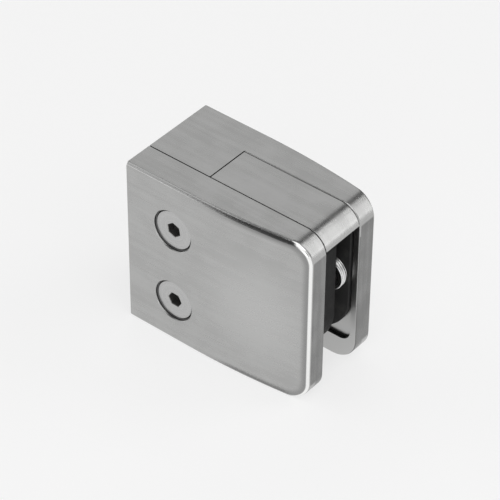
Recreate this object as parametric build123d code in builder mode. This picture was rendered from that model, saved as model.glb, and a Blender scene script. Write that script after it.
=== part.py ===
"""A clamp that holds the edge of a glass panel against a flat post, in millimetres.

X runs from the post (0) to the open end of the slot, Y from the front cover to the
rear jaw with the slot's middle plane at 0, and Z up with the clamp's mid-height at 0.
The origin is the centre of the face on the post, on the axis of the post bolt.
"""
from build123d import *
import math
import os

# Outer shape
length = 50.0
height = 45.0
jaw = 7.9  # thickness of the front cover, and of the rear jaw
slot = 11.8  # width of the slot between the two jaws
web = 17.5  # solid block between the post and the slot
top_corner = 5.3  # rounded corners at the open end, seen from the front
cover_low_corner = 5.7
jaw_low_corner = 6.6
bow_radius = 200.0  # the outer faces curve inwards from the web to the open end
cover_edge = 1.0  # fillet round the front face
back_edge = 0.6  # fillet round the back face
post_edge = 0.25  # fillet round the face on the post
mouth_edge = 0.35  # fillet along the inner edge of the rear jaw
joint_gap = 0.16  # parting line between the cover and the block behind it
joint_edge = 0.12  # broken edges of the cover and the plate at the parting lines

# Closing plate over the slot, and its two dowels
plate_thickness = 4.2
plate_gap = 0.18  # parting line round the plate
dowel_radius = 1.5
dowel_depth = 2.6  # how far each dowel reaches into either jaw
dowel_inset = 7.0  # from the plate's ends to the dowels
dowel_play = 0.05
dowel_chamfer = 0.3

# Pockets in the jaws, and the pads in them
web_rim = 2.2  # metal left beside the pocket at the web
end_rim = 1.6  # metal left beside the pocket at the open end
sill = 5.75  # metal left below the pocket
head_wall = 0.8  # metal left between the pocket and the closing plate
pocket_depth = 1.0
pocket_corner = 3.0
pad_play = 0.1
pad_end_gap = 0.5  # the pads end this far short of the pocket at the open end
pad_corner = 12.2  # large lower corner of each pad at the open end
pad_edge = 0.3  # fillet round the face of each pad that meets the glass
front_pad_proud = 6.4
back_pad_proud = 0.4

# Pin on the rear jaw that enters a hole in the glass
pin_radius = 4.35
pin_proud = 2.05
pin_inset = 7.2  # from the open end
pin_height = 2.25  # above mid-height
pin_chamfer = 0.2
pin_shank_radius = 2.0
pin_shank = 3.0
pin_flats = 3.0  # hexagon socket, across flats
pin_socket_depth = 1.6
pin_play = 0.15  # between the pin and the pad round it

# Clamp screws, countersunk in the cover and threaded into the block
screw_inset = 13.2  # from the post
screw_pitch = 20.4  # between the two screws
screw_drop = 0.5  # the pair sits a little below mid-height
screw_radius = 2.5
screw_length = 20.0
head_radius = 4.95
head_rim = 0.3
head_sunk = 0.6
head_flats = 3.2  # hexagon socket, across flats
head_socket_depth = 2.2
seat_play = 0.35  # between the head's rim and its countersink
seat_edge = 0.15  # chamfer round the mouth of each countersink
cone_play = 0.05  # between the head's cone and its countersink, along the axis
tip_chamfer = 0.5
cover_hole_play = 0.2
thread_play = 0.05
hole_spare = 0.6  # blind holes end this far past what they hold

# Hole for the post bolt, with a seat for its head
bolt_radius = 3.3
bolt_head_radius = 5.25
bolt_head_depth = 6.5

# Places worked out from the sizes above
top = height / 2
bottom = -height / 2
front_face = -slot / 2 - jaw
back_face = slot / 2 + jaw
web_front = -slot / 2
jaw_inside = slot / 2
cover_inside = web_front - joint_gap
bow_depth = bow_radius - math.sqrt(bow_radius**2 - (length - web) ** 2)
bow_angle = math.degrees(math.asin((length - web) / bow_radius))
plate_underside = top - plate_thickness
plate_middle = top - plate_thickness / 2
pocket_end = length - end_rim
pin_x = length - pin_inset
head_top = front_face + head_sunk
seat_radius = head_radius + seat_play
hole_radius = screw_radius + cover_hole_play
land_end = head_top + head_rim + cone_play - seat_play
neck = head_top + head_rim + head_radius - screw_radius
tip = head_top + screw_length
dowel_places = {"inner_plate_pin": web + dowel_inset, "outer_plate_pin": length - dowel_inset}
dowel_centres = [(x, plate_middle) for x in dowel_places.values()]
screw_places = {
    "upper_clamp_screw": screw_pitch / 2 - screw_drop,
    "lower_clamp_screw": -screw_pitch / 2 - screw_drop,
}
screw_turns = {"upper_clamp_screw": 39.0, "lower_clamp_screw": 58.0}


def at_depth(y):
    """Front-view plane at a depth; an extrusion from it runs towards the front."""
    return Plane.XZ.offset(-y)


def side_outline(plane, low_corner):
    """The clamp from the front: square at the post, rounded at the open end."""
    with BuildSketch(plane) as outline:
        with BuildLine():
            outer = FilletPolyline(
                (0, bottom),
                (length, bottom),
                (length, top),
                (0, top),
                radius=(low_corner, top_corner),
            )
            Line(outer @ 1, outer @ 0)
        make_face()
    return outline.sketch


def plan_outline(plane):
    """The clamp from above: flat beside the web, then bowed inwards."""
    with BuildSketch(plane) as outline:
        with BuildLine():
            front_flat = Line((0, front_face), (web, front_face))
            front_bow = JernArc(front_flat @ 1, (1, 0), bow_radius, bow_angle)
            back_flat = Line((0, back_face), (web, back_face))
            back_bow = JernArc(back_flat @ 1, (1, 0), bow_radius, -bow_angle)
            Line(front_flat @ 0, back_flat @ 0)
            Line(front_bow @ 1, back_bow @ 1)
        make_face()
    return outline.sketch


def panel_outline(plane, play, right, lower_corner):
    """A pocket, or with play a pad, from the front; lower_corner is at the open end."""
    left = web + web_rim + play
    low = bottom + sill + play
    high = plate_underside - head_wall - play
    with BuildSketch(plane) as outline:
        with BuildLine():
            FilletPolyline(
                (left, low),
                (right, low),
                (right, high),
                (left, high),
                radius=(pocket_corner, lower_corner, pocket_corner, pocket_corner),
                close=True,
            )
        make_face()
    return outline.sketch


def pocket_outline(plane):
    return panel_outline(plane, 0, pocket_end, pocket_corner)


def pad_outline(plane):
    return panel_outline(plane, pad_play, pocket_end - pad_end_gap, pad_corner)


def outer_rim(outer_faces):
    """Edges round a bowed outer face, apart from its upright ones at the post and web."""
    upright = outer_faces.edges().filter_by(Axis.Z).sort_by(Axis.X)
    inner_uprights = [edge for edge in upright if edge.center().X < (web + length) / 2]
    return [edge for edge in outer_faces.edges() if edge not in inner_uprights]


def socket_outline(plane, x, z, flats, turn=0.0):
    """Hexagon socket seen from the front, turned about its own centre."""
    with BuildSketch(plane) as outline:
        with Locations((x, z)):
            RegularPolygon(radius=flats / 2, side_count=6, major_radius=False, rotation=turn)
    return outline.sketch


with BuildPart() as clamp_body:
    extrude(side_outline(at_depth(back_face), jaw_low_corner), amount=back_face - web_front)
    extrude(plan_outline(Plane.XY.offset(bottom)), amount=height, mode=Mode.INTERSECT)
    fillet(outer_rim(faces().sort_by(Axis.Y)[-2:]), back_edge)
    # The slot leaves the web and the rear jaw
    with BuildSketch(at_depth(jaw_inside)):
        with Locations((web, 0)):
            Rectangle(length, 2 * height, align=(Align.MIN, Align.CENTER))
    extrude(amount=slot, mode=Mode.SUBTRACT)
    inside = faces().filter_by(Axis.Y).sort_by(Axis.Y)[1]
    fillet([edge for edge in inside.edges() if edge.center().X > web + mouth_edge], mouth_edge)
    fillet(faces().sort_by(Axis.X)[0].edges(), post_edge)
    # Pocket for the rear pad, and the pin's hole in its floor
    extrude(pocket_outline(at_depth(jaw_inside)), amount=-pocket_depth, mode=Mode.SUBTRACT)
    with BuildSketch(at_depth(jaw_inside)):
        with Locations((pin_x, pin_height)):
            Circle(pin_shank_radius + thread_play)
    extrude(amount=-pocket_depth - pin_shank - hole_spare, mode=Mode.SUBTRACT)
    # Blind holes for the closing plate's dowels
    with BuildSketch(at_depth(jaw_inside)):
        with Locations(dowel_centres):
            Circle(dowel_radius + dowel_play)
    extrude(amount=-dowel_depth - hole_spare, mode=Mode.SUBTRACT)
    # Tapped holes for the clamp screws
    with BuildSketch(at_depth(web_front)):
        with Locations([(screw_inset, z) for z in screw_places.values()]):
            Circle(screw_radius + thread_play)
    extrude(amount=-(head_top + screw_length - web_front) - hole_spare, mode=Mode.SUBTRACT)
    # Hole for the post bolt, its head sunk in the web
    with Locations(Plane(origin=(web, 0, 0), z_dir=(1, 0, 0))):
        CounterBoreHole(bolt_radius, bolt_head_radius, bolt_head_depth, web)

with BuildPart() as front_cover:
    extrude(side_outline(at_depth(cover_inside), cover_low_corner), amount=cover_inside - front_face)
    extrude(plan_outline(Plane.XY.offset(bottom)), amount=height, mode=Mode.INTERSECT)
    fillet(outer_rim(faces().sort_by(Axis.Y)[:2]), cover_edge)
    fillet(faces().sort_by(Axis.X)[0].edges(), post_edge)
    fillet(faces().sort_by(Axis.Y)[-1].edges(), joint_edge)
    extrude(pocket_outline(at_depth(cover_inside)), amount=pocket_depth, mode=Mode.SUBTRACT)
    with BuildSketch(at_depth(cover_inside)):
        with Locations(dowel_centres):
            Circle(dowel_radius + dowel_play)
    extrude(amount=dowel_depth + hole_spare, mode=Mode.SUBTRACT)
    # Countersunk holes, each with a broken edge and a land that leaves the head below the face
    for z in screw_places.values():
        with BuildSketch(Plane.XY.offset(z)):
            with BuildLine():
                Polyline(
                    (screw_inset, front_face - cover_edge),
                    (screw_inset + seat_radius + seat_edge + cover_edge, front_face - cover_edge),
                    (screw_inset + seat_radius, front_face + seat_edge),
                    (screw_inset + seat_radius, land_end),
                    (screw_inset + hole_radius, land_end + seat_radius - hole_radius),
                    (screw_inset + hole_radius, web_front),
                    (screw_inset, web_front),
                    close=True,
                )
            make_face()
        revolve(axis=Axis((screw_inset, 0, z), (0, 1, 0)), mode=Mode.SUBTRACT)

with BuildPart() as closing_plate:
    extrude(side_outline(at_depth(jaw_inside - plate_gap), jaw_low_corner), amount=slot - plate_gap)
    with BuildSketch(at_depth(jaw_inside)):
        with Locations((web + plate_gap, plate_underside)):
            Rectangle(length, plate_thickness, align=(Align.MIN, Align.MIN))
    extrude(amount=slot, mode=Mode.INTERSECT)
    fillet(faces().filter_by(Axis.Z).sort_by(Axis.Z)[-1].edges(), joint_edge)
    with BuildSketch(at_depth(jaw_inside)):
        with Locations(dowel_centres):
            Circle(dowel_radius + dowel_play)
    extrude(amount=slot, mode=Mode.SUBTRACT)

with BuildPart() as front_pad:
    front_pad_foot = cover_inside - pocket_depth
    front_pad_face = web_front + front_pad_proud
    extrude(pad_outline(at_depth(front_pad_foot)), amount=front_pad_foot - front_pad_face)
    fillet(faces().sort_by(Axis.Y)[-1].edges(), pad_edge)

with BuildPart() as back_pad:
    back_pad_foot = jaw_inside + pocket_depth
    back_pad_thickness = pocket_depth + back_pad_proud
    extrude(pad_outline(at_depth(back_pad_foot)), amount=back_pad_thickness)
    with BuildSketch(at_depth(back_pad_foot)):
        with Locations((pin_x, pin_height)):
            Circle(pin_radius + pin_play)
    extrude(amount=back_pad_thickness, mode=Mode.SUBTRACT)
    fillet(faces().sort_by(Axis.Y)[0].outer_wire().edges(), pad_edge)

with BuildPart() as glass_pin:
    pin_face = jaw_inside - pin_proud
    with BuildSketch(at_depth(pin_face)):
        with Locations((pin_x, pin_height)):
            Circle(pin_radius)
    extrude(amount=-pin_proud - pocket_depth)
    chamfer(faces().sort_by(Axis.Y)[0].edges(), pin_chamfer)
    with BuildSketch(at_depth(back_pad_foot)):
        with Locations((pin_x, pin_height)):
            Circle(pin_shank_radius)
    extrude(amount=-pin_shank)
    pin_socket = socket_outline(at_depth(pin_face), pin_x, pin_height, pin_flats)
    extrude(pin_socket, amount=-pin_socket_depth, mode=Mode.SUBTRACT)

pieces = {
    "clamp_body": clamp_body,
    "front_cover": front_cover,
    "closing_plate": closing_plate,
    "front_pad": front_pad,
    "back_pad": back_pad,
    "glass_pin": glass_pin,
}

for name, x in dowel_places.items():
    with BuildPart() as dowel:
        with BuildSketch(at_depth(jaw_inside + dowel_depth)):
            with Locations((x, plate_middle)):
                Circle(dowel_radius)
        extrude(amount=slot + joint_gap + 2 * dowel_depth)
        chamfer(edges().filter_by(GeomType.CIRCLE), dowel_chamfer)
    pieces[name] = dowel

for name, z in screw_places.items():
    with BuildPart() as screw:
        with BuildSketch(Plane.XY.offset(z)):
            with BuildLine():
                Polyline(
                    (screw_inset, head_top),
                    (screw_inset + head_radius, head_top),
                    (screw_inset + head_radius, head_top + head_rim),
                    (screw_inset + screw_radius, neck),
                    (screw_inset + screw_radius, tip - tip_chamfer),
                    (screw_inset + screw_radius - tip_chamfer, tip),
                    (screw_inset, tip),
                    close=True,
                )
            make_face()
        revolve(axis=Axis((screw_inset, 0, z), (0, 1, 0)))
        turn = screw_turns[name]
        head_socket = socket_outline(at_depth(head_top), screw_inset, z, head_flats, turn)
        extrude(head_socket, amount=-head_socket_depth, mode=Mode.SUBTRACT)
    pieces[name] = screw

os.makedirs("parts", exist_ok=True)
for name, piece in pieces.items():
    piece.part.label = name
    export_step(piece.part, f"parts/{name}.step")
    print(name, round(piece.part.volume, 1))
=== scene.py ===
import bpy
import bmesh
import math
from mathutils import Matrix, Vector


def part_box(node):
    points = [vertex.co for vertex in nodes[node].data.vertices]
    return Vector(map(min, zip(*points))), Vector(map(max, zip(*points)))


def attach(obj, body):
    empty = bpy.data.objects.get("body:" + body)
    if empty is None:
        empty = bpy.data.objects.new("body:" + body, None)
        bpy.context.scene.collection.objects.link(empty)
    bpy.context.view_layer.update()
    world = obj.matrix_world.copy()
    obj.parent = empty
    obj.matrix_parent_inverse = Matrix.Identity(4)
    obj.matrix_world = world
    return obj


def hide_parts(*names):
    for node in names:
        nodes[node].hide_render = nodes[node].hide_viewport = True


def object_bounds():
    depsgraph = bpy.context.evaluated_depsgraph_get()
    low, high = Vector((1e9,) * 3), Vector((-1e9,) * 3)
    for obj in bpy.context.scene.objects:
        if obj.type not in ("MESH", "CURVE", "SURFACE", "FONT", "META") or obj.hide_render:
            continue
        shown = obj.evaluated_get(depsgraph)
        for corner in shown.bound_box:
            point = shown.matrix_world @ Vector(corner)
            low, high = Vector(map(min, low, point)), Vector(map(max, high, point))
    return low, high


print("Loading the clamp")
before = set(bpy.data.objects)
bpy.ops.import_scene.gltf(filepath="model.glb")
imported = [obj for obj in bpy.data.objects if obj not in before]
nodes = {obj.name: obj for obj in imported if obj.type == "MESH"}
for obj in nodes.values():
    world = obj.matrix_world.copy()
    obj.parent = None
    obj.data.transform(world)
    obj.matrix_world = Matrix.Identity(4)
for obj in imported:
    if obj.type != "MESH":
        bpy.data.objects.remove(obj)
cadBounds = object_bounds()
scene = bpy.context.scene
mm = 0.001


# Short ways to write a material's nodes
def newMaterial(name):
    material = bpy.data.materials.new(name)
    material.use_nodes = True
    tree = material.node_tree
    return material, tree, tree.nodes["Principled BSDF"]


def feed(tree, value, socket):
    if isinstance(value, bpy.types.NodeSocket):
        tree.links.new(value, socket)
    else:
        socket.default_value = value


def addNode(tree, kind, spot, values=(), **settings):
    made = tree.nodes.new(kind)
    made.location = spot
    for key, value in settings.items():
        setattr(made, key, value)
    for value, socket in zip(values, made.inputs):
        feed(tree, value, socket)
    return made


def maths(tree, operation, spot, *values):
    return addNode(tree, "ShaderNodeMath", spot, values, operation=operation).outputs[0]


def times(tree, spot, first, second):
    return maths(tree, "MULTIPLY", spot, first, second)


def rest(tree, spot, value):
    return maths(tree, "SUBTRACT", spot, 1.0, value)


def vectorMaths(tree, operation, spot, *values):
    return addNode(tree, "ShaderNodeVectorMath", spot, values, operation=operation).outputs[0]


def distance(tree, spot, *points):
    made = addNode(tree, "ShaderNodeVectorMath", spot, points, operation="DISTANCE")
    return made.outputs["Value"]


def ramp(tree, spot, value, lowest, highest, low=0.0, high=1.0):
    values = (value, lowest, highest, low, high)
    kind = "ShaderNodeMapRange"
    return addNode(tree, kind, spot, values, interpolation_type="SMOOTHSTEP").outputs[0]


def blend(tree, spot, amount, first, second, kind="RGBA"):
    made = addNode(tree, "ShaderNodeMix", spot, data_type=kind)
    feed(tree, amount, made.inputs["Factor"])
    pair = [socket for socket in made.inputs if socket.enabled and socket.name in ("A", "B")]
    feed(tree, first, pair[0])
    feed(tree, second, pair[1])
    return next(socket for socket in made.outputs if socket.enabled)


def scaled(tree, spot, place, size):
    return vectorMaths(tree, "MULTIPLY", spot, place, (1 / size,) * 3)


def noise(tree, spot, place, detail=2.0):
    made = addNode(tree, "ShaderNodeTexNoise", spot)
    feed(tree, place, made.inputs["Vector"])
    made.inputs["Scale"].default_value = 1
    made.inputs["Detail"].default_value = detail
    return made.outputs[0]


def bump(tree, spot, height, strength, depth, under=None):
    made = addNode(tree, "ShaderNodeBump", spot)
    if under:
        tree.links.new(under, made.inputs["Normal"])
    feed(tree, height, made.inputs["Height"])
    made.inputs["Strength"].default_value = strength
    made.inputs["Distance"].default_value = depth
    return made.outputs[0]


# A colour scaled up or down, for painted light or shade on a copy of a material
def lightened(colour, paintedLightScale):
    return [paintedLightScale * part for part in colour[:3]] + [1]


def dress(name, material):
    piece = nodes[name]
    piece.data.materials.clear()
    piece.data.materials.append(material)


# Countersunk screws with a hexagon socket and a real thread
screw = {
    "flats": 3.2 * mm,
    "socketDepth": 2.2 * mm,
    "drilled": 0.97,  # width of the drilled hole against the flats
    "drillPoint": 0.45 * mm,  # cone that the drill leaves below the hexagon
    "socketBreak": 0.12 * mm,
    "socketStart": 0.01 * mm,  # the dark skin of the socket starts this far in
    "rim": 0.3 * mm,
    "edgeBreak": 0.12 * mm,
    "crest": 2.48 * mm,
    "thread": 0.46 * mm,
    "crestShare": 0.14,  # how much of the pitch is crest and flanks, the rest is root
    "flankShare": 0.62,
    "pitch": 0.8 * mm,
    "plainNeck": 0.5 * mm,
    "tipBreak": 0.5 * mm,
    "rowsInPitch": 14,
    "turns": {"upper_clamp_screw": 39, "lower_clamp_screw": 58},  # degrees round its axis
}

# Satin steel: brushed along the jaws' faces, and round the outline on all that is turned away.
# A slope is a part of the surface's normal, from 0 to 1, between which a finish comes in.
satin = {
    "colour": (0.42, 0.42, 0.415, 1),
    "bright": (0.465, 0.465, 0.46, 1),
    "roughness": 0.27,
    "spread": 0.05,  # how far brush lines and clouds change the roughness
    "anisotropy": 0.4,
    "line": 0.16 * mm,
    "streak": 1.3 * mm,
    "run": 16 * mm,  # length of a brush line
    "cloud": 6 * mm,
    "lineShare": 0.4,
    "contrast": (0.8, 1.6),
    "scratchDepth": 0.002 * mm,
    "scratchBump": 0.07,
    "jawSlope": (0.75, 0.95),
    # A soft patch on the front, painted a little brighter than the rest: a painted highlight
    "patchHighlight": (0.51, 0.51, 0.505, 1),
    "patch": (36 * mm, 0, -2 * mm),
    "patchReach": (2 * mm, 19 * mm),
    # The jaws' upright outer edges and their corners, and their long edges: buffed smoother, and
    # painted brighter as a painted highlight
    "edgeHighlight": (0.94, 0.94, 0.93, 1),
    "halfEdgeHighlight": (0.60, 0.60, 0.595, 1),
    "buffedRoughness": 0.13,
    "edgeSlope": (0.5, 0.9),
    "uprightSlope": (0.1, 0.4),
    # Where the faces start to turn towards the edges, painted darker: painted shade
    "rolled": (0.30, 0.30, 0.297, 1),
    "rolledReach": (0.9 * mm, 2.6 * mm),
    "rolledRun": (14 * mm, 40 * mm),
    "cornerReach": 6 * mm,
    "rollOff": 0.6 * mm,  # how far polishing has worn the front face down at the outline
    "rollWidth": 2.4 * mm,
    "rollRun": (14 * mm, 32 * mm),
    "rearRoll": 0.2,  # share of that on the rear face
    "rearRun": (-2 * mm, 2 * mm),
    # The two ends, ground square and painted darker: painted shade
    "endShade": (0.195, 0.195, 0.193, 1),
    "endShadeBright": (0.27, 0.27, 0.267, 1),
    "endSlope": (0.985, 0.998),
    "squareSlope": (0.3, 0.6),
    # The slot's two sides, and the faces that meet at the parting line, which are painted darker:
    # painted shade between the parts
    "inner": (0.50, 0.50, 0.495, 1),
    "joint": (0.26, 0.26, 0.257, 1),
    "innerRoughness": 0.3,
    "middle": (8 * mm, 9 * mm),
    "slotStart": 17 * mm,
    "plateStart": 15 * mm,  # the closing plate is above this
    # Painted shade along the joints' edges
    "gapShade": (0.05, 0.05, 0.05, 1),
    "gapShadeReach": 0.05 * mm,
    "plateGap": 0.18 * mm,
    # Lower walls of the pads' pockets, painted dark: painted shade
    "pocket": (0.22, 0.22, 0.217, 1),
    "pocketTop": -8 * mm,
    "upSlope": (0.6, 0.9),
    # The countersinks round the screws' heads, painted dark near the heads: painted shade
    "seat": (0.13, 0.13, 0.13, 1),
    "seatRoughness": 0.45,
    "seatReach": 5.78 * mm,
    "seatWall": 0.3 * mm,  # how far up their walls the painted shade goes from the heads
    "frontStart": -8 * mm,
}


def brushed(tree, spot, place, onJaws, pitch, run):
    column, row = spot
    roundCoords = vectorMaths(tree, "MULTIPLY", spot, place, (1 / run, 1 / pitch, 1 / run))
    alongScale = (1 / run, 1 / run, 1 / pitch)
    alongCoords = vectorMaths(tree, "MULTIPLY", (column, row - 160), place, alongScale)
    roundLines = noise(tree, (column + 180, row), roundCoords)
    alongLines = noise(tree, (column + 180, row - 160), alongCoords)
    return blend(tree, (column + 360, row), onJaws, roundLines, alongLines, "FLOAT")


# Where the painted shade along the joints' edges goes
def byJoint(tree, spot, place, onJaws):
    # The cover's joint is a plane
    column, row = spot
    cover, body, plate = (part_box(name) for name in ("front_cover", "clamp_body", "closing_plate"))
    middle = (cover[1][1] + body[0][1]) / 2
    forward = maths(tree, "SUBTRACT", (column, row), place["Y"], middle)
    off = maths(tree, "ABSOLUTE", (column + 180, row), forward)
    nearCover = (body[0][1] - cover[1][1]) / 2 + satin["gapShadeReach"]
    alongCover = maths(tree, "LESS_THAN", (column + 360, row), off, nearCover)
    # The closing plate's joint goes round two of its sides
    fromEnd = maths(tree, "SUBTRACT", (column, row - 160), plate[0][0], place["X"])
    fromSide = maths(tree, "SUBTRACT", (column, row - 320), place["Y"], plate[1][1])
    off = maths(tree, "MAXIMUM", (column + 180, row - 240), fromEnd, fromSide)
    off = maths(tree, "SUBTRACT", (column + 360, row - 240), off, satin["plateGap"] / 2)
    off = maths(tree, "ABSOLUTE", (column + 540, row - 240), off)
    nearPlate = satin["plateGap"] / 2 + satin["gapShadeReach"]
    alongPlate = maths(tree, "LESS_THAN", (column + 720, row - 240), off, nearPlate)
    behindCover = maths(tree, "GREATER_THAN", (column, row - 480), forward, 0.0)
    high = maths(tree, "GREATER_THAN", (column, row - 640), place["Z"], satin["plateStart"])
    high = times(tree, (column + 180, row - 560), behindCover, high)
    alongPlate = times(tree, (column + 900, row - 240), alongPlate, high)
    either = maths(tree, "MAXIMUM", (column + 1080, row), alongCover, alongPlate)
    turnedAway = rest(tree, (column + 1080, row - 160), onJaws)
    return times(tree, (column + 1260, row), either, turnedAway)


def fromScrews(tree, spot, flat):
    # How far from the nearer screw's axis, and where the screws' faces are
    column, row = spot
    reach = 1.0
    for node in screw["turns"]:
        lowest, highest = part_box(node)
        axis = ((lowest[0] + highest[0]) / 2, 0, (lowest[2] + highest[2]) / 2)
        gap = distance(tree, (column, row), flat, axis)
        reach = maths(tree, "MINIMUM", (column + 180, row), reach, gap)
        row -= 160
    return reach, lowest[1]


def insideOutline(tree, spot, place):
    # How far inside the outline, whose two corners at the open end are round
    column, row = spot
    corner = satin["cornerReach"]
    right = maths(tree, "SUBTRACT", (column, row), place["X"], cadBounds[1][0] - corner)
    tall = maths(tree, "ABSOLUTE", (column, row - 160), place["Z"])
    tall = maths(tree, "SUBTRACT", (column + 180, row - 160), tall, cadBounds[1][2] - corner)
    pastRight = maths(tree, "MAXIMUM", (column + 360, row), right, 0.0)
    pastTall = maths(tree, "MAXIMUM", (column + 360, row - 160), tall, 0.0)
    past = (pastRight, pastTall, 0.0)
    past = addNode(tree, "ShaderNodeCombineXYZ", (column + 540, row), past).outputs[0]
    past = distance(tree, (column + 720, row), past, (0, 0, 0))
    short = maths(tree, "MAXIMUM", (column + 360, row - 320), right, tall)
    short = maths(tree, "MINIMUM", (column + 540, row - 320), short, 0.0)
    past = maths(tree, "ADD", (column + 900, row), past, short)
    return maths(tree, "SUBTRACT", (column + 1080, row), corner, past)


def satinSteel():
    material, tree, steel = newMaterial("satinSteel")
    coords = addNode(tree, "ShaderNodeTexCoord", (-1700, 0))
    place = coords.outputs["Object"]
    facing = coords.outputs["Normal"]
    spot = addNode(tree, "ShaderNodeSeparateXYZ", (-1500, -1060), (place,)).outputs
    towards = addNode(tree, "ShaderNodeSeparateXYZ", (-1500, -400), (facing,)).outputs
    forward = maths(tree, "ABSOLUTE", (-1320, -400), towards["Y"])
    endwards = maths(tree, "ABSOLUTE", (-1320, -900), towards["X"])
    onJaws = ramp(tree, (-1140, -400), forward, *satin["jawSlope"])
    onEnds = ramp(tree, (-1140, -900), endwards, *satin["endSlope"])
    squareEdge = ramp(tree, (-1140, -820), endwards, *satin["squareSlope"])
    upright = ramp(tree, (-1140, -740), endwards, *satin["uprightSlope"])
    # The sine of twice the slope is 1 on an edge half way round
    squared = times(tree, (-1320, -560), forward, forward)
    sideways = maths(tree, "SQRT", (-1140, -560), rest(tree, (-1230, -640), squared))
    slope = times(tree, (-960, -560), times(tree, (-1050, -640), forward, 2.0), sideways)
    onEdges = ramp(tree, (-780, -560), slope, *satin["edgeSlope"])

    lines = brushed(tree, (-1140, 500), place, onJaws, satin["line"], satin["run"])
    streaks = brushed(tree, (-1140, 160), place, onJaws, satin["streak"], 2 * satin["run"])
    clouds = noise(tree, (-780, -200), scaled(tree, (-960, -200), place, satin["cloud"]))
    mixed = times(tree, (-660, 400), lines, satin["lineShare"])
    mixed = maths(tree, "ADD", (-560, 300), mixed, streaks)
    mixed = maths(tree, "ADD", (-460, 300), mixed, clouds)
    level = ramp(tree, (-360, 300), mixed, *satin["contrast"])

    # The slot's sides face forward or back near the middle
    offMiddle = maths(tree, "ABSOLUTE", (-1320, -1060), spot["Y"])
    nearMiddle = ramp(tree, (-1140, -1060), offMiddle, *satin["middle"], 1.0, 0.0)
    inSlot = times(tree, (-960, -1060), nearMiddle, onJaws)
    outerFace = maths(tree, "SUBTRACT", (-780, -1060), onJaws, inSlot)
    # Before the slot, the faces at the parting line are painted darker: painted shade between the
    # parts
    pastBlock = maths(tree, "GREATER_THAN", (-1140, -1140), spot["X"], satin["slotStart"])
    inner = blend(tree, (-960, -1140), pastBlock, satin["joint"], satin["inner"])
    # Inside the slot, what faces the open end gets the same painted shade, but not on the closing
    # plate
    belowPlate = maths(tree, "LESS_THAN", (-960, -900), spot["Z"], satin["plateStart"])
    innerEdges = times(tree, (-780, -860), squareEdge, belowPlate)
    innerEdges = times(tree, (-600, -860), nearMiddle, innerEdges)
    endShadeMask = maths(tree, "MAXIMUM", (-420, -860), onEnds, innerEdges)
    # The pockets' lower walls look up from inside the slot; they get painted shade
    upwards = ramp(tree, (-1140, -980), towards["Z"], *satin["upSlope"])
    low = maths(tree, "LESS_THAN", (-960, -980), spot["Z"], satin["pocketTop"])
    onPocket = times(tree, (-780, -980), nearMiddle, times(tree, (-870, -940), upwards, low))

    # Round the screws' axes, in front of the block, where the countersinks get painted shade
    flat = vectorMaths(tree, "MULTIPLY", (-1500, -1220), place, (1, 0, 1))
    reach, headFace = fromScrews(tree, (-1320, -1220), flat)
    byScrew = maths(tree, "LESS_THAN", (-960, -1220), reach, satin["seatReach"])
    inFront = maths(tree, "LESS_THAN", (-960, -1380), spot["Y"], satin["frontStart"])
    wallEnd = headFace - satin["seatWall"]
    behindWall = maths(tree, "GREATER_THAN", (-960, -1540), spot["Y"], wallEnd)
    inSeat = times(tree, (-870, -1460), inFront, behindWall)
    inSeat = times(tree, (-780, -1220), byScrew, inSeat)
    onOuterEdges = times(tree, (-600, -560), onEdges, rest(tree, (-690, -640), nearMiddle))
    onOuterEdges = times(tree, (-420, -560), onOuterEdges, rest(tree, (-510, -640), byScrew))

    inside = insideOutline(tree, (-1320, -1700), spot)
    # A band just inside the outline, towards the open end, painted darker: painted shade
    byOutline = ramp(tree, (-60, -1700), inside, *satin["rolledReach"], 1.0, 0.0)
    rolled = ramp(tree, (-60, -1860), spot["X"], *satin["rolledRun"])
    rolled = times(tree, (120, -1860), rolled, outerFace)
    rolled = times(tree, (300, -1700), byOutline, rolled)
    # A soft patch on the front painted brighter: a painted highlight
    fromPatch = distance(tree, (-420, 780), flat, satin["patch"])
    onPatch = ramp(tree, (-240, 780), fromPatch, *satin["patchReach"], 1.0, 0.0)
    onPatch = times(tree, (-60, 780), onPatch, times(tree, (-240, 940), inFront, outerFace))
    # Painted shade along the joints' edges
    gapShaded = byJoint(tree, (-1320, -2700), spot, onJaws)

    colour = blend(tree, (-180, 300), level, satin["colour"], satin["bright"])
    # Darker steel on the ends: painted shade
    endShade = blend(tree, (-180, 460), level, satin["endShade"], satin["endShadeBright"])
    # Brighter steel on the outer edges, most on the upright ones: painted highlights
    edgeHighlight = blend(tree, (-180, 620), upright, satin["halfEdgeHighlight"], satin["edgeHighlight"])
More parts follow.
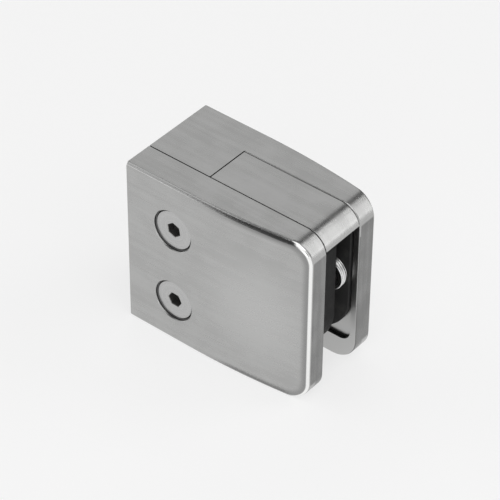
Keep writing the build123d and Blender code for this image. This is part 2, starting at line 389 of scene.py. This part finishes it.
    # Layers over the steel: painted shade on the ends, a painted highlight on the patch, painted
    # shade beside the edges, painted highlights on the edges, the slot's sides with painted shade
    # on the parting faces, and painted shade along the joints, in the pockets and in the
    # countersinks
    layers = (
        (endShadeMask, endShade),
        (onPatch, satin["patchHighlight"]),
        (rolled, satin["rolled"]),
        (onOuterEdges, edgeHighlight),
        (inSlot, inner),
        (gapShaded, satin["gapShade"]),
        (onPocket, satin["pocket"]),
        (inSeat, satin["seat"]),
    )
    for column, (mask, over) in enumerate(layers):
        colour = blend(tree, (180 * column, 300), mask, colour, over)
    tree.links.new(colour, steel.inputs["Base Color"])
    dull = satin["roughness"] - satin["spread"] / 2
    ends = (dull + satin["spread"], dull)
    roughness = ramp(tree, (-180, 100), mixed, *satin["contrast"], *ends)
    layers = (
        (onOuterEdges, satin["buffedRoughness"]),
        (inSlot, satin["innerRoughness"]),
        (inSeat, satin["seatRoughness"]),
    )
    for column, (mask, over) in enumerate(layers):
        roughness = blend(tree, (180 * column, 100), mask, roughness, over, "FLOAT")
    tree.links.new(roughness, steel.inputs["Roughness"])
    steel.inputs["Metallic"].default_value = 1
    steel.inputs["Anisotropic"].default_value = satin["anisotropy"]
    roundOutline = vectorMaths(tree, "CROSS_PRODUCT", (-960, -760), facing, (0, 1, 0))
    grain = blend(tree, (0, -400), onJaws, roundOutline, (1, 0, 0), "VECTOR")
    tree.links.new(grain, steel.inputs["Tangent"])

    # Polishing has worn the outer faces away a little towards their outline
    share = ramp(tree, (-60, -2180), spot["Y"], *satin["rearRun"], 1.0, satin["rearRoll"])
    forwardShare = ramp(tree, (-60, -2340), spot["X"], *satin["rollRun"])
    share = times(tree, (120, -2180), share, forwardShare)
    height = ramp(tree, (-60, -2020), inside, 0.0, satin["rollWidth"])
    height = times(tree, (300, -2020), height, share)
    worn = bump(tree, (480, -2020), height, 1, satin["rollOff"])
    untouched = addNode(tree, "ShaderNodeNewGeometry", (480, -2180)).outputs["Normal"]
    plain = maths(tree, "MAXIMUM", (480, -2340), inSlot, onEnds)
    worn = blend(tree, (660, -2020), plain, worn, untouched, "VECTOR")
    normal = bump(tree, (840, -200), lines, satin["scratchBump"], satin["scratchDepth"], worn)
    tree.links.new(normal, steel.inputs["Normal"])
    return material


# Turned steel: fine rings about the piece's own axis
turned = {
    "colour": (0.455, 0.455, 0.455, 1),
    "bright": (0.53, 0.53, 0.525, 1),
    "roughness": 0.27,
    "spread": 0.08,
    "ring": 0.09 * mm,
    "detail": 3.0,
    "contrast": (0.3, 0.7),
    "bump": 0.2,
    "depth": 0.002 * mm,
}


def turnedSteel(name, centre=(0, 0, 0), paintedLightScale=1.0):
    material, tree, steel = newMaterial(name)
    colour = lightened(turned["colour"], paintedLightScale)
    bright = lightened(turned["bright"], paintedLightScale)
    coords = addNode(tree, "ShaderNodeTexCoord", (-1300, 0))
    place = vectorMaths(tree, "SUBTRACT", (-1120, 0), coords.outputs["Object"], centre)
    parts = addNode(tree, "ShaderNodeSeparateXYZ", (-940, 0), (place,))
    across = times(tree, (-760, 100), parts.outputs["X"], parts.outputs["X"])
    up = times(tree, (-760, -60), parts.outputs["Z"], parts.outputs["Z"])
    reach = maths(tree, "SQRT", (-580, 100), maths(tree, "ADD", (-670, 40), across, up))
    along = addNode(tree, "ShaderNodeCombineXYZ", (-400, 100), (reach, parts.outputs["Y"], 0.0))
    along = scaled(tree, (-220, 100), along.outputs[0], turned["ring"])
    rings = noise(tree, (-40, 100), along, turned["detail"])
    level = ramp(tree, (50, 260), rings, *turned["contrast"])
    tree.links.new(blend(tree, (140, 200), level, colour, bright), steel.inputs["Base Color"])
    dull = turned["roughness"] - turned["spread"] / 2
    ends = (dull + turned["spread"], dull)
    roughness = ramp(tree, (140, 0), rings, *turned["contrast"], *ends)
    tree.links.new(roughness, steel.inputs["Roughness"])
    steel.inputs["Metallic"].default_value = 1
    normal = bump(tree, (140, -200), rings, turned["bump"], turned["depth"])
    tree.links.new(normal, steel.inputs["Normal"])
    return material


# A duller skin in the screws' sockets, painted dark: painted shade
socketShade = {
    "colour": (0.19, 0.187, 0.183, 1),
    "light": (0.30, 0.295, 0.29, 1),
    "roughness": 0.5,
    "grain": 0.15 * mm,
    "contrast": (0.4, 0.8),
    "bump": 0.3,
    "depth": 0.01 * mm,
}


def darkSocket():
    material, tree, skin = newMaterial("socketShade")
    place = addNode(tree, "ShaderNodeTexCoord", (-900, 0)).outputs["Object"]
    grain = noise(tree, (-500, 0), scaled(tree, (-700, 0), place, socketShade["grain"]))
    specks = ramp(tree, (-300, 200), grain, *socketShade["contrast"])
    colour = blend(tree, (-120, 200), specks, socketShade["colour"], socketShade["light"])
    tree.links.new(colour, skin.inputs["Base Color"])
    skin.inputs["Metallic"].default_value = 1
    skin.inputs["Roughness"].default_value = socketShade["roughness"]
    normal = bump(tree, (-120, -200), grain, socketShade["bump"], socketShade["depth"])
    tree.links.new(normal, skin.inputs["Normal"])
    return material


# Moulded black rubber with a faint grain
rubber = {
    "colour": (0.013, 0.013, 0.013, 1),
    "worn": (0.021, 0.021, 0.02, 1),
    "paintedLightScale": {"front_pad": 0.6, "back_pad": 2.6},  # the front pad is painted darker and the rear pad painted lighter: painted shade and painted light on the one rubber
    "roughness": 0.55,
    "spread": 0.14,
    "specular": 0.12,
    "grain": 0.22 * mm,
    "grainContrast": (0.3, 0.7),
    "patch": 3 * mm,
    "patchContrast": (0.45, 0.75),
    "bump": 0.35,
    "depth": 0.02 * mm,
}


def blackRubber(name, paintedLightScale):
    material, tree, skin = newMaterial(name)
    colour = lightened(rubber["colour"], paintedLightScale)
    paler = lightened(rubber["worn"], paintedLightScale)
    place = addNode(tree, "ShaderNodeTexCoord", (-900, 0)).outputs["Object"]
    grain = noise(tree, (-500, 0), scaled(tree, (-700, 0), place, rubber["grain"]))
    patches = noise(tree, (-500, 200), scaled(tree, (-700, 200), place, rubber["patch"]))
    worn = ramp(tree, (-300, 200), patches, *rubber["patchContrast"])
    tree.links.new(blend(tree, (-120, 200), worn, colour, paler), skin.inputs["Base Color"])
    smooth = rubber["roughness"] - rubber["spread"] / 2
    ends = (smooth, smooth + rubber["spread"])
    roughness = ramp(tree, (-120, 0), grain, *rubber["grainContrast"], *ends)
    tree.links.new(roughness, skin.inputs["Roughness"])
    skin.inputs["Specular IOR Level"].default_value = rubber["specular"]
    normal = bump(tree, (-120, -200), grain, rubber["bump"], rubber["depth"])
    tree.links.new(normal, skin.inputs["Normal"])
    return material


print("Materials")
satinSkin = satinSteel()
for name in ("clamp_body", "front_cover", "closing_plate"):
    dress(name, satinSkin)
# The two pads get lit and shaded copies of the one rubber: painted shade on the front pad, painted
# light on the rear pad
for name, paintedLightScale in rubber["paintedLightScale"].items():
    dress(name, blackRubber(name + "Rubber", paintedLightScale))
for name in ("inner_plate_pin", "outer_plate_pin"):
    lowest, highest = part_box(name)
    dress(name, turnedSteel(name + "Steel", (Vector(lowest) + Vector(highest)) / 2))


# Columns round each turned piece, and the angle from which its edges are sharp
lathed = {"columns": 96, "sharp": 32}


def hexagonReach(angle):
    fromCorner = angle % math.radians(60)
    return screw["flats"] / 2 / math.cos(fromCorner - math.radians(30))


def threadReach(angle, y, start, end):
    # A right-handed thread that fades out at both ends
    turnsDown = (y - start) / screw["pitch"] + angle / (2 * math.pi)
    fromCrest = abs(turnsDown % 1 - 0.5) * 2
    downFlank = (fromCrest - screw["crestShare"]) / screw["flankShare"]
    depth = min(max(downFlank, 0), 1) * screw["thread"]
    fade = min(max((y - start) / screw["pitch"], 0), max((end - y) / screw["pitch"], 0), 1)
    return screw["crest"] - depth * fade


def lathe(name, rows, ends, turn=0):
    # Each row is a place along the piece, and its reach at any angle
    columns = lathed["columns"]
    shape = bmesh.new()
    rings = []
    for y, reach in rows:
        ring = []
        for column in range(columns):
            angle = 2 * math.pi * column / columns
            r = reach(angle)
            angle += math.radians(turn)
            ring.append(shape.verts.new((r * math.cos(angle), y, r * math.sin(angle))))
        rings.append(ring)
    for ring, following in zip(rings, rings[1:]):
        for a in range(columns):
            b = (a + 1) % columns
            shape.faces.new((ring[a], ring[b], following[b], following[a]))
    for ring, y in zip((rings[0], rings[-1]), ends):
        middle = shape.verts.new((0, y, 0))
        for a in range(columns):
            shape.faces.new((ring[a], ring[(a + 1) % columns], middle))
    bmesh.ops.recalc_face_normals(shape, faces=shape.faces)
    mesh = bpy.data.meshes.new(name)
    shape.to_mesh(mesh)
    shape.free()
    mesh.shade_smooth()
    mesh.set_sharp_from_angle(angle=math.radians(lathed["sharp"]))
    return mesh


def clampScrew(node, skin, socketSkin):
    lowest, highest = (Vector(corner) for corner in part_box(node))
    centre = Vector(((lowest.x + highest.x) / 2, 0, (lowest.z + highest.z) / 2))
    headReach = (highest.x - lowest.x) / 2
    face, tip = lowest.y, highest.y
    socketFloor = face + screw["socketDepth"]
    neck = face + screw["rim"] + headReach - screw["crest"]
    start, end = neck + screw["plainNeck"], tip - screw["tipBreak"]
    drilled = screw["flats"] / 2 * screw["drilled"]
    rows = [
        (socketFloor, lambda angle: drilled),
        (socketFloor, hexagonReach),
        (face + screw["socketBreak"], hexagonReach),
        (face, lambda angle: hexagonReach(angle) + screw["socketBreak"]),
        (face, lambda angle: headReach - screw["edgeBreak"]),
        (face + screw["edgeBreak"], lambda angle: headReach),
        (face + screw["rim"], lambda angle: headReach),
        (neck, lambda angle: screw["crest"]),
    ]
    steps = math.ceil((end - start) / screw["pitch"] * screw["rowsInPitch"])
    for step in range(steps + 1):
        y = start + (end - start) * step / steps
        rows.append((y, lambda angle, y=y: threadReach(angle, y, start, end)))
    rows.append((tip, lambda angle: screw["crest"] - screw["tipBreak"]))

    drillEnd = socketFloor + screw["drillPoint"]
    mesh = lathe(node + "Shape", rows, (drillEnd, tip), screw["turns"][node])
    mesh.materials.append(skin)
    mesh.materials.append(socketSkin)
    socketReach = screw["flats"] / math.sqrt(3) + screw["socketBreak"]
    for side in mesh.polygons:
        inSocket = math.hypot(side.center.x, side.center.z) < socketReach
        if inSocket and face + screw["socketStart"] < side.center.y < drillEnd:
            side.material_index = 1
    piece = bpy.data.objects.new(node + "_threaded", mesh)
    piece.location = centre
    scene.collection.objects.link(piece)
    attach(piece, node.replace("_clamp", ""))
    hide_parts(node)


print("Clamp screws")
screwSkin = turnedSteel("screwSteel")
socketSkin = darkSocket()
for node in screw["turns"]:
    clampScrew(node, screwSkin, socketSkin)

# The glass pin, with the grooves that turning left round its side
pin = {
    "chamfer": 0.15 * mm,
    "groove": 0.6 * mm,
    "depth": 0.18 * mm,
    "grooved": 2.4 * mm,  # length of the grooved part
    "rowsInGroove": 10,
    # the pin's steel is painted lighter: a painted highlight
    "paintedLightScale": 1.65,
}


def grooveReach(y, start, full):
    across = (y - start) / pin["groove"]
    return full - pin["depth"] * (1 - math.cos(2 * math.pi * across)) / 2


def glassPin():
    lowest, highest = (Vector(corner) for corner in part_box("glass_pin"))
    centre = Vector(((lowest.x + highest.x) / 2, 0, (lowest.z + highest.z) / 2))
    full = (highest.x - lowest.x) / 2
    face = lowest.y
    start = face + pin["chamfer"]
    end = start + pin["grooved"]
    rows = [(face, lambda angle: full - pin["chamfer"])]
    steps = round(pin["grooved"] / pin["groove"] * pin["rowsInGroove"])
    for step in range(steps + 1):
        y = start + (end - start) * step / steps
        rows.append((y, lambda angle, y=y: grooveReach(y, start, full)))
    rows.append((highest.y, lambda angle: full))
    mesh = lathe("glassPinShape", rows, (face, highest.y))
    # Turned steel painted lighter for the pin: a painted highlight
    mesh.materials.append(turnedSteel("pinSteel", paintedLightScale=pin["paintedLightScale"]))
    piece = bpy.data.objects.new("glass_pin_grooved", mesh)
    piece.location = centre
    scene.collection.objects.link(piece)
    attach(piece, "block")
    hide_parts("glass_pin")


print("Glass pin")
glassPin()

print("Camera")
view = {
    "place": (0.2980, -0.33943, 0.3699),
    "turn": 38.895,
    "tilt": 40.204,
    "roll": 0.51,
    "lens": 183.93,
    "sensor": 36,
    "nearest": 0.01,
}
cameraData = bpy.data.cameras.new("camera")
cameraData.lens = view["lens"]
cameraData.sensor_width = view["sensor"]
cameraData.clip_start = view["nearest"]
camera = bpy.data.objects.new("camera", cameraData)
swung = Matrix.Rotation(math.radians(view["turn"]), 4, "Z")
tilted = Matrix.Rotation(math.radians(90 - view["tilt"]), 4, "X")
rolled = Matrix.Rotation(math.radians(view["roll"]), 4, "Z")
camera.matrix_world = Matrix.Translation(view["place"]) @ swung @ tilted @ rolled
scene.collection.objects.link(camera)
scene.camera = camera

print("Floor and lamps")
studio = {
    "floor": (0.95, 0.95, 0.95, 1),
    "roughness": 0.9,
    "reach": 2.4,
    "rim": ((0.3, 0.01), (0.5, 0.06), (0.62, 0.16), (0.66, 0.4)),  # out and up from its edge
    "sides": 72,
    "white": 0.7,  # share of plain white as the floor is seen, the rest takes light and shadow
    "sky": 0.05,
    "lampAway": 0.9,
}
floorMesh = bpy.data.meshes.new("floor")
shape = bmesh.new()


def floorRing(reach, up):
    angles = [2 * math.pi * side / studio["sides"] for side in range(studio["sides"])]
    return [shape.verts.new((math.sin(a) * reach, math.cos(a) * reach, up)) for a in angles]


ring = floorRing(studio["reach"], 0)
shape.faces.new(ring[::-1])
for out, up in studio["rim"]:
    following = floorRing(studio["reach"] + out, up)
    for first in range(len(ring)):
        second = (first + 1) % len(ring)
        shape.faces.new((ring[first], ring[second], following[second], following[first]))
    ring = following
bmesh.ops.recalc_face_normals(shape, faces=shape.faces)
shape.to_mesh(floorMesh)
shape.free()
floorMesh.shade_smooth()
floor = bpy.data.objects.new("floor", floorMesh)
floor.location = (0, 0, cadBounds[0][2])
scene.collection.objects.link(floor)
floorPaint, floorTree, floorSkin = newMaterial("floorPaint")
floorSkin.inputs["Base Color"].default_value = studio["floor"]
floorSkin.inputs["Roughness"].default_value = studio["roughness"]
path = addNode(floorTree, "ShaderNodeLightPath", (-700, 300)).outputs
seen = maths(floorTree, "MAXIMUM", (-500, 300), path["Is Camera Ray"], path["Is Glossy Ray"])
seen = maths(floorTree, "MAXIMUM", (-320, 300), seen, path["Is Transmission Ray"])
share = times(floorTree, (-140, 300), seen, studio["white"])
white = addNode(floorTree, "ShaderNodeEmission", (-140, 100))
mixed = (share, floorSkin.outputs[0], white.outputs[0])
shown = addNode(floorTree, "ShaderNodeMixShader", (320, 200), mixed)
floorTree.links.new(shown.outputs[0], floorTree.nodes["Material Output"].inputs["Surface"])
floorMesh.materials.append(floorPaint)

# Soft lamps round the clamp. Bearings run from +Y towards +X, in degrees, and level is how bright
# the lamp's face looks, where 1 is white
lamps = {
    "lowLeftLamp": {"bearing": -118, "height": 15.3, "size": (1.14, 0.54), "level": 0.62},
    "leftLamp": {"bearing": -115, "height": 38.5, "size": (0.75, 0.27), "level": 0.64},
    "frontLamp": {"bearing": 152, "height": 25, "size": (0.7, 0.84), "level": 0.95},
    "highFrontLamp": {"bearing": 132, "height": 66, "size": (1.0, 0.95), "level": 1.1, "away": 1.0},
    "highLeftLamp": {"bearing": -95, "height": 55.2, "size": (0.68, 0.27), "level": 0.68},
    "rightLamp": {"bearing": 96, "height": 26, "size": (0.75, 0.78), "level": 0.7},
    "backRightLamp": {"bearing": 47, "height": 22, "size": (0.45, 0.7), "level": 1.5},
    "backHighLamp": {"bearing": 38, "height": 52, "size": (0.4, 0.25), "level": 1.7},
    "backLeftLamp": {"bearing": -41, "height": 36, "size": (0.6, 0.76), "level": 0.76},
    "topLamp": {"bearing": 180, "height": 85, "size": (0.6, 0.5), "level": 0.6},
}
middle = (Vector(cadBounds[0]) + Vector(cadBounds[1])) / 2
for name, lamp in lamps.items():
    bearing, height = math.radians(lamp["bearing"]), math.radians(lamp["height"])
    towards = Vector((math.sin(bearing), math.cos(bearing), 0)) * math.cos(height)
    towards.z = math.sin(height)
    lampData = bpy.data.lights.new(name, "AREA")
    lampData.shape = "RECTANGLE"
    lampData.size, lampData.size_y = lamp["size"]
    lampData.energy = lamp["level"] * math.pi * lampData.size * lampData.size_y
    made = bpy.data.objects.new(name, lampData)
    made.location = middle + towards * lamp.get("away", studio["lampAway"])
    made.rotation_euler = towards.to_track_quat("Z", "Y").to_euler()
    made.visible_camera = False
    scene.collection.objects.link(made)

world = bpy.data.worlds.new("studio")
scene.world = world
world.use_nodes = True
sky = world.node_tree.nodes["Background"]
sky.inputs["Color"].default_value = (1, 1, 1, 1)
sky.inputs["Strength"].default_value = studio["sky"]

scene.view_settings.view_transform = "Standard"
